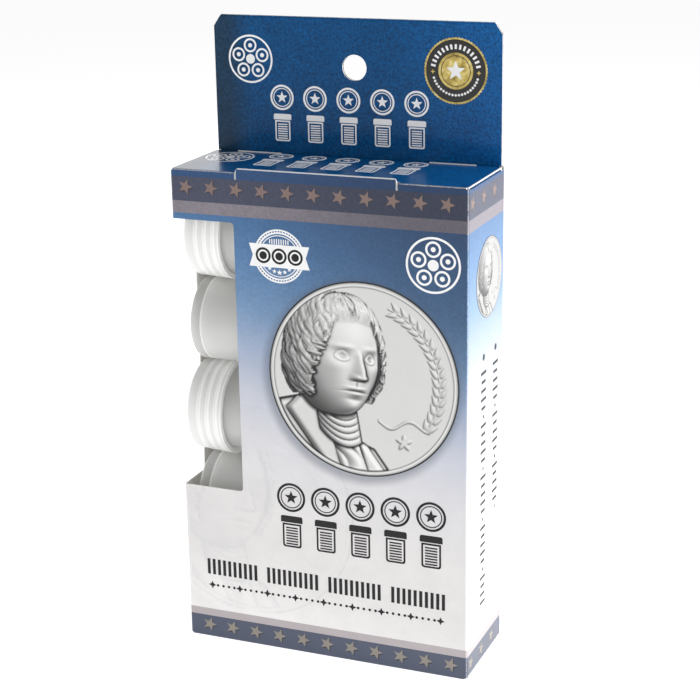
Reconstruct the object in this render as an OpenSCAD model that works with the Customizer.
// Hang carton with a corner window, and the five screw-capped coin tubes in it.
// Origin: centre of the carton's footprint, on the surface that it stands on.
// X runs left to right, Y from the front to the back, Z up.

/* [Coins] */
// Diameter of the coin that the tubes are made for
coin_d = 21.21; // [17:0.01:40]
// Thickness of one coin
coin_t = 1.95; // [1.6:0.01:3.5]
// Coins in one full tube
coin_count = 40; // [34:1:60]
// Room beside the coins, on the radius
coin_play = 0.3; // [0.2:0.05:1]
// Room above a full stack
stack_play = 0.6; // [0.2:0.1:3]

/* [Tube] */
// Wall of the tube's body
tube_wall = 1.5; // [1.2:0.05:3]
// Wall of the neck, inside its thread
neck_wall = 1; // [0.8:0.05:1.2]
// Floor under the coins
floor_t = 1.2; // [0.8:0.1:3]
// Depth of the hollow under the floor
foot_h = 3.5; // [2:0.1:8]
// Rounding of the foot's outer edge
foot_round = 1; // [0.3:0.1:1.4]

/* [Thread] */
// Rise of the thread in one turn
thread_pitch = 3; // [2.8:0.05:3.4]
// Height of a ridge over its wall
ridge_h = 0.85; // [0.5:0.05:0.95]
// Width of a ridge where it leaves its wall
ridge_root_w = 1.9; // [1.4:0.05:2]
// Width of a ridge along its crest
ridge_crest_w = 1.1; // [0.7:0.05:1.2]
// Gap between a ridge's crest and the wall across from it
ridge_gap = 0.25; // [0.15:0.05:0.5]
// Depth that a ridge is set into its own wall
ridge_seat = 0.3; // [0.2:0.05:0.5]

/* [Cap] */
// Height of the cap
cap_h = 11.6; // [11:0.1:16]
// Thickness of the cap's closed end
cap_top_t = 1.2; // [0.8:0.1:2]
// Wall of the cap beside its closed end
cap_wall = 0.9; // [0.7:0.05:2]
// Step between one ring of the cap and the next, on the radius
ring_step = 0.165; // [0.1:0.005:0.4]
// Rounding of the cap's closed end
cap_round = 1; // [0.4:0.1:1]
// Gap between the tube's rim and the cap's closed end
rim_gap = 0.1; // [0.05:0.05:0.5]

/* [Carton] */
// Thickness of the board
board_t = 0.45; // [0.35:0.05:0.6]
// Outer radius of an upright crease
corner_r = 0.8; // [0.7:0.1:2]
// Free length beside the tubes, both ends together
end_play = 3.4; // [2:0.1:8]
// Free depth beside the caps, front and back together
side_play = 2.05; // [1.8:0.05:6]
// Free height above the top cap
head_room = 4.9; // [4.5:0.1:20]
// Gap between a tube and what it lies on
tube_gap = 0.3; // [0.1:0.05:1]
// Width of the glue flap
glue_flap_w = 12; // [8:0.5:20]
// Distance of the glue flap's ends from the carton's ends
glue_flap_inset = 4; // [2:0.5:10]

/* [Window] */
// Width of the window across the front, from the left side
window_w = 19.4; // [10:0.1:19.8]
// Depth of the window along the left side, from the front
window_side = 13.2; // [6:0.1:20]
// Height of the window
window_h = 81; // [40:0.5:110]
// Distance of the window's top from the carton's top
window_drop = 14.4; // [12:0.1:24]
// Rounding of the window's corners
window_round = 1.1; // [0.4:0.1:3]

/* [Header] */
// Height of the header above the carton's top
header_h = 39.8; // [25:0.1:60]
// Distance of the header's side edges from the carton's sides
header_inset = 0.5; // [0.2:0.1:4]
// Width of the cut at the header's top corners
header_cut_w = 2.3; // [1:0.1:8]
// Height of the cut at the header's top corners
header_cut_h = 3.3; // [1.5:0.1:8]
// Gap between the header's two plies
ply_gap = 0.5; // [0.5:0.05:0.7]
// Length of the front ply inside the carton
ply_tail = 8; // [4:0.5:9]
// Diameter of the hang hole
hang_d = 7.4; // [5:0.1:9]
// Distance of the hang hole's centre from the header's top
hang_drop = 14; // [8:0.1:18]

/* [Closures] */
// Distance of a lid's side edges from the carton's sides
lid_inset = 0.25; // [0.1:0.05:0.8]
// Depth of a tuck flap, from its crease
tuck_l = 9; // [6:0.5:9]
// Distance of a tuck flap's side edges from the board beside it
tuck_side_gap = 0.8; // [0.4:0.1:3]
// Rounding of a tuck flap's free corners
tuck_round = 4; // [1:0.5:5]
// Gap between a tuck flap and the board behind it
tuck_gap = 0.6; // [0.55:0.05:1]
// Length of a dust flap, from its crease
dust_l = 20; // [12:0.5:22]
// Distance of a dust flap's root from the creases beside it
dust_inset = 0.6; // [0.4:0.1:1.5]
// Distance of a dust flap's tip from the tuck flap
dust_tip_gap = 4; // [3.5:0.5:8]
// Length of each locking slit in the lid's rear crease
slit_l = 13.9; // [6:0.1:16]
// Distance of a slit's outer end from the carton's side
slit_inset = 7.55; // [4:0.05:10]
// Width of a slit
slit_w = 0.6; // [0.3:0.05:1]

/* [Tongue] */
// Width of the tongue at the front of the top crease
tongue_w = 48.1; // [20:0.1:60]
// Height of the tongue above the lid
tongue_rise = 1.2; // [0.6:0.1:3]
// Depth of the cuts beside the tongue, below the crease
tongue_cut_h = 1.6; // [0.8:0.1:3]
// Rounding of the tongue's corners
tongue_round = 1; // [0.4:0.1:1.2]
// Width of the cuts around the tongue
tongue_gap = 0.12; // [0.1:0.01:0.3]

/* [Hidden] */
// Gap between two boards that lie on each other
fold_gap = 0.1;
// Gap between a crease's bead and the board that turns round it
crease_gap = 0.08;
// How far a cut runs past what it cuts
cut_over = 1;
// Turns of a thread ridge, and the flat faces in one turn
thread_turns = 1.5;
thread_faces = 36;
// Part of a ridge, at each of its ends, in which it rises to its full height
ridge_run_share = 0.08;
// Height of a ridge at its very ends, as a share of its full height
ridge_end_share = 0.1;
// Height of the cap's rings over its lip, as shares of the cap's height
ring_shares = [0.147, 0.384, 0.634];
// Height of the tube's shoulder over the cap's lip, and of the ridge's end under the rim
shoulder_rise_share = 0.086;
ridge_drop_share = 0.155;
// Slope of a dust flap's front edge: how far back it runs for its length
dust_slope_share = 0.65;
// Slope of the glue flap's ends
glue_slope_share = 0.5;
// Place of each tube along the free length, from the middle, from the top tube down
place_shares = [-0.03, 0, -0.47, 0.12, -0.32];
tube_count = len(place_shares);
$fn = 96;

cavity_r = coin_d / 2 + coin_play;
cavity_l = coin_count * coin_t + stack_play;
body_r = cavity_r + tube_wall;
neck_r = cavity_r + neck_wall;
cap_in_r = neck_r + ridge_h + ridge_gap;
cap_r = cap_in_r + cap_wall + len(ring_shares) * ring_step;
rim_z = foot_h + floor_t + cavity_l;
tube_l = rim_z + rim_gap + cap_top_t;
lip_z = tube_l - cap_h;
shoulder_z = lip_z + shoulder_rise_share * cap_h;
ridge_z = rim_z - ridge_drop_share * cap_h - thread_turns * thread_pitch;

carton_w = tube_l + end_play + 2 * board_t;
carton_d = 2 * cap_r + side_play + 2 * board_t;
stack_pitch = cap_r + body_r + tube_gap;
low_tube_z = 2 * board_t + fold_gap + tube_gap + cap_r;
high_tube_z = low_tube_z + (tube_count - 1) * stack_pitch;
carton_h = high_tube_z + cap_r + head_room + fold_gap + 2 * board_t;

left_x = -carton_w / 2;
right_x = carton_w / 2;
front_y = -carton_d / 2;
back_y = carton_d / 2;
lid_crease_y = front_y + board_t;
dust_crease_z = 2 * board_t + fold_gap;
top_tuck_y = back_y - 3 * board_t - ply_gap - tuck_gap;
bottom_tuck_y = back_y - 2 * board_t - tuck_gap;
dust_front_y = front_y + 2 * board_t + dust_inset;
window_top = carton_h - window_drop;
window_low = window_top - window_h;
header_z = carton_h + header_h;
header_half_w = carton_w / 2 - header_inset;
fold_r = (2 * board_t + ply_gap) / 2;
hang_z = header_z - hang_drop;

// A rectangle with four round corners
module round_rect(low, high, r) {
    translate([low[0] + r, low[1]]) square([high[0] - low[0] - 2 * r, high[1] - low[1]]);
    translate([low[0], low[1] + r]) square([high[0] - low[0], high[1] - low[1] - 2 * r]);
    for (x = [low[0] + r, high[0] - r], y = [low[1] + r, high[1] - r])
        translate([x, y]) circle(r);
}

// An outline in X and Z made a board that reaches from y back by its thickness
module upright_board(y, thick = board_t) {
    translate([0, y + thick, 0]) rotate([90, 0, 0]) linear_extrude(thick) children();
}

// The bead along a crease that runs in X
module bead_x(x0, x1, y, z) {
    translate([x0, y, z]) rotate([0, 90, 0]) cylinder(r = board_t, h = x1 - x0);
}

// The bead along a crease that runs in Y
module bead_y(y0, y1, x, z) {
    translate([x, y1, z]) rotate([90, 0, 0]) cylinder(r = board_t, h = y1 - y0);
}

// The quarter bend of an upright crease, side and face being -1 or 1
module corner_bend(side, face) {
    translate([side * (right_x - corner_r), face * (back_y - corner_r), board_t])
        linear_extrude(carton_h - 2 * board_t)
            intersection() {
                difference() {
                    circle(corner_r);
                    circle(corner_r - board_t);
                }
                translate([side > 0 ? 0 : -corner_r, face > 0 ? 0 : -corner_r]) square(corner_r);
            }
}

module at_top() {
    translate([0, 0, carton_h]) mirror([0, 0, 1]) children();
}

module tongue_outline() {
    round_rect([-tongue_w / 2, carton_h / 2], [tongue_w / 2, carton_h + tongue_rise], tongue_round);
}

module front_window() {
    upright_board(front_y - cut_over, corner_r + 2 * cut_over)
        round_rect([left_x - window_w, window_low], [left_x + window_w, window_top], window_round);
}

module front_panel() {
    flat_l = left_x + corner_r;
    flat_r = right_x - corner_r;
    color("#5b83b4") difference() {
        union() {
            upright_board(front_y) difference() {
                translate([flat_l, board_t]) square([flat_r - flat_l, carton_h - 2 * board_t]);
                for (side = [-1, 1])
                    translate([side * (tongue_w + tongue_gap) / 2 - tongue_gap / 2,
                               carton_h - board_t - tongue_cut_h])
                        square([tongue_gap, tongue_cut_h + cut_over]);
            }
            upright_board(front_y) tongue_outline();
            for (side = [-1, 1]) corner_bend(side, -1);
            bead_x(flat_l, flat_r, lid_crease_y, board_t);
            at_top() {
                bead_x(flat_l, -tongue_w / 2 - tongue_gap, lid_crease_y, board_t);
                bead_x(tongue_w / 2 + tongue_gap, flat_r, lid_crease_y, board_t);
            }
        }
        front_window();
    }
}

// Beads of a side panel's two creases, at its lower and upper end
module side_beads(x) {
    bead_y(dust_front_y, bottom_tuck_y - board_t - dust_inset, x, dust_crease_z);
    at_top() bead_y(dust_front_y, top_tuck_y - board_t - dust_inset, x, dust_crease_z);
}

module right_side_panel() {
    color("#8fb1dc") {
        translate([right_x - board_t, front_y + corner_r, dust_crease_z])
            cube([board_t, carton_d - 2 * corner_r, carton_h - 2 * dust_crease_z]);
        side_beads(right_x - board_t);
    }
}

module left_side_panel() {
    color("#8fb1dc") difference() {
        union() {
            translate([left_x, front_y + corner_r, dust_crease_z])
                cube([board_t, carton_d - corner_r - board_t, carton_h - 2 * dust_crease_z]);
            side_beads(left_x + board_t);
        }
        translate([left_x - cut_over, 0, 0]) rotate([90, 0, 90])
            linear_extrude(3 * board_t + 2 * cut_over)
                round_rect([front_y - window_side, window_low],
                           [front_y + window_side, window_top], window_round);
    }
}

module back_panel() {
    color("#2d5a94") {
        translate([left_x, back_y - board_t, 0])
            cube([carton_w - corner_r, board_t, carton_h]);
        corner_bend(1, 1);
    }
}

module glue_flap() {
    slope = glue_slope_share * glue_flap_w;
    low = glue_flap_inset;
    high = carton_h - glue_flap_inset;
    color("#f1efe9") upright_board(back_y - 2 * board_t)
        translate([left_x + board_t, 0])
            polygon([[0, low], [glue_flap_w, low + slope],
                     [glue_flap_w, high - slope], [0, high]]);
}

// Cuts the two top corners off a ply
module header_corners() {
    for (side = [-1, 1])
        upright_board(back_y - 2 * fold_r - cut_over, 2 * fold_r + 2 * cut_over)
            polygon([[side * header_half_w, header_z - header_cut_h],
                     [side * (header_half_w - header_cut_w), header_z],
                     [side * (header_half_w - header_cut_w), header_z + cut_over],
                     [side * (header_half_w + cut_over), header_z + cut_over],
                     [side * (header_half_w + cut_over), header_z - header_cut_h]]);
}

module hang_hole() {
    translate([0, back_y + cut_over, hang_z]) rotate([90, 0, 0])
        cylinder(d = hang_d, h = 2 * fold_r + 2 * cut_over);
}

module header_front_ply() {
    tail_half_w = right_x - board_t - tuck_side_gap;
    color("#1d4a86") difference() {
        union() {
            upright_board(back_y - 2 * fold_r) {
                translate([-header_half_w, carton_h])
                    square([2 * header_half_w, header_h - fold_r]);
                translate([-tail_half_w, carton_h - ply_tail])
                    square([2 * tail_half_w, ply_tail + header_h / 2]);
            }
            translate([-header_half_w, back_y - fold_r, header_z - fold_r])
                rotate([90, 0, 90]) linear_extrude(2 * header_half_w) difference() {
                    circle(fold_r);
                    circle(fold_r - board_t);
                    translate([-2 * fold_r, -2 * fold_r]) square([4 * fold_r, 2 * fold_r]);
                }
        }
        header_corners();
        hang_hole();
    }
}

module header_back_ply() {
    color("#2d5a94") difference() {
        upright_board(back_y - board_t) translate([-header_half_w, carton_h])
            square([2 * header_half_w, header_h - fold_r]);
        header_corners();
        hang_hole();
    }
}

// A closure as it lies at the carton's foot: its board, and the bead of its tuck crease
module closure(tuck_y) {
    half_w = right_x - lid_inset;
    front = lid_crease_y + board_t + crease_gap;
    translate([-half_w, front, 0]) cube([2 * half_w, tuck_y - front, board_t]);
    bead_x(-half_w, half_w, tuck_y, board_t);
}

// A tuck flap as it stands at the carton's foot
module tuck_flap(tuck_y) {
    half_w = right_x - board_t - tuck_side_gap;
    crease_end = 2 * board_t + crease_gap;
    upright_board(tuck_y) intersection() {
        round_rect([-half_w, board_t - tuck_l], [half_w, board_t + tuck_l], tuck_round);
        translate([-half_w, crease_end]) square([2 * half_w, tuck_l]);
    }
}

// A right-hand dust flap as it lies at the carton's foot
module dust_flap(tuck_y) {
    root_x = right_x - 2 * board_t - crease_gap;
    tip_x = right_x - board_t - dust_l;
    tip_front_y = dust_front_y + dust_slope_share * dust_l;
    translate([0, 0, dust_crease_z - board_t]) linear_extrude(board_t)
        polygon([[root_x, dust_front_y], [tip_x, tip_front_y],
                 [tip_x, tuck_y - dust_tip_gap - dust_inset],
                 [tip_x + dust_inset, tuck_y - dust_tip_gap],
                 [root_x, tuck_y - board_t - dust_inset]]);
}

module top_lid() {
    notch_y = lid_crease_y + board_t + tongue_rise + tongue_gap;
    notch_half_w = tongue_w / 2 + 2 * tongue_gap;
    color("#1f4d86") difference() {
        at_top() closure(top_tuck_y);
        translate([-notch_half_w, front_y, carton_h - board_t - cut_over])
            cube([2 * notch_half_w, notch_y - front_y, board_t + 2 * cut_over]);
        for (side = [-1, 1])
            translate([side * (right_x - slit_inset - slit_l / 2) - slit_l / 2,
                       top_tuck_y + board_t - slit_w, carton_h - 2 * board_t - cut_over])
                cube([slit_l, slit_w + cut_over, 2 * board_t + 2 * cut_over]);
    }
}

module top_tuck_flap() {
    color("#f1efe9") at_top() tuck_flap(top_tuck_y);
}

module top_dust_flap_right() {
    color("#f1efe9") at_top() dust_flap(top_tuck_y);
}

module top_dust_flap_left() {
    mirror([1, 0, 0]) top_dust_flap_right();
}

module bottom_closure() {
    color("#3f5f8c") closure(bottom_tuck_y);
}

module bottom_tuck_flap() {
    color("#f1efe9") tuck_flap(bottom_tuck_y);
}

module bottom_dust_flap_right() {
    color("#f1efe9") dust_flap(bottom_tuck_y);
}

module bottom_dust_flap_left() {
    mirror([1, 0, 0]) bottom_dust_flap_right();
}

// A thread ridge on a wall of radius wall_r, out being 1 outside the wall and -1 inside it.
// Each ring of points lies in one plane through the axis, and z0 is its height at the start.
module ridge(wall_r, out, z0) {
    steps = thread_turns * thread_faces;
    seat_r = wall_r - out * ridge_seat;
    function rise(i) = let (run = ridge_run_share * steps)
        ridge_h * max(ridge_end_share, min(1, i / run, (steps - i) / run));
    function ring(i) = let (
            turn = 360 * i / thread_faces,
            z = z0 + thread_pitch * i / thread_faces,
            crest_r = wall_r + out * rise(i),
            corners = [[seat_r, -ridge_root_w / 2], [crest_r, -ridge_crest_w / 2],
                       [crest_r, ridge_crest_w / 2], [seat_r, ridge_root_w / 2]])
        [for (c = corners) [c[0] * cos(turn), c[0] * sin(turn), z + c[1]]];
    points = [for (i = [0:steps]) each ring(i)];
    function side(i, k) = let (a = 4 * i + k, b = 4 * i + (k + 1) % 4)
        [[a, b, a + 4], [b, b + 4, a + 4]];
    last = 4 * steps;
    sides = [for (i = [0:steps - 1], k = [0:3]) each side(i, k)];
    ends = [[0, 2, 1], [0, 3, 2],
            [last, last + 1, last + 2], [last, last + 2, last + 3]];
    faces = concat(sides, ends);
    polyhedron(points, out > 0 ? faces : [for (f = faces) [f[2], f[1], f[0]]]);
}

// A tube on its foot, with its rim up
module tube() {
    rotate_extrude() {
        translate([body_r - foot_round, foot_round]) intersection() {
            circle(foot_round);
            translate([0, -foot_round]) square(foot_round);
        }
        translate([cavity_r, 0]) square([body_r - foot_round - cavity_r, foot_round]);
        translate([cavity_r, foot_round]) square([tube_wall, shoulder_z - foot_round]);
        translate([0, foot_h]) square([cavity_r + neck_wall / 2, floor_t]);
        translate([cavity_r, foot_round]) square([neck_wall, rim_z - foot_round]);
    }
    ridge(neck_r, 1, ridge_z);
}

// A cap where it sits on a tube that stands on its foot
module cap() {
    ring_z = concat([0], [for (share = ring_shares) share * cap_h]);
    small_r = cap_in_r + cap_wall;
    translate([0, 0, lip_z]) rotate_extrude() {
        for (i = [0:len(ring_z) - 2])
            translate([cap_in_r, ring_z[i]])
                square([cap_r - i * ring_step - cap_in_r, ring_z[i + 1] - ring_z[i]]);
        translate([cap_in_r, 0]) square([cap_wall, cap_h - cap_round]);
        translate([0, cap_h - cap_top_t]) square([small_r - cap_round, cap_top_t]);
        translate([small_r - cap_round, cap_h - cap_round]) intersection() {
            circle(cap_round);
            square(cap_round);
        }
        translate([0, cap_h - cap_top_t]) square([cap_in_r, cap_top_t - cap_round / 2]);
        translate([cap_in_r - cap_wall, cap_h - cap_top_t]) square([cap_wall, cap_top_t - cap_round]);
    }
    ridge(cap_in_r, -1, ridge_z - thread_pitch / 2);
}

// Lays a standing tube or cap in the carton. Odd tubes have their cap on the left.
module in_carton(number) {
    faces_left = number % 2 == 1;
    middle_x = place_shares[number - 1] * end_play;
    translate([middle_x, 0, high_tube_z - (number - 1) * stack_pitch])
        rotate([0, faces_left ? -90 : 90, 0])
            translate([0, 0, -tube_l / 2]) children();
}

module coin_tube(number) {
    color("#e9ecef", 0.6) in_carton(number) tube();
}

module screw_cap(number) {
    color("#f4f6f8", 0.7) in_carton(number) cap();
}

front_panel();
right_side_panel();
left_side_panel();
back_panel();
glue_flap();
header_front_ply();
header_back_ply();
top_lid();
top_tuck_flap();
top_dust_flap_left();
top_dust_flap_right();
bottom_closure();
bottom_tuck_flap();
bottom_dust_flap_left();
bottom_dust_flap_right();
coin_tube(1);  // tube_1
coin_tube(2);  // tube_2
coin_tube(3);  // tube_3
coin_tube(4);  // tube_4
coin_tube(5);  // tube_5
screw_cap(1);  // cap_1
screw_cap(2);  // cap_2
screw_cap(3);  // cap_3
screw_cap(4);  // cap_4
screw_cap(5);  // cap_5
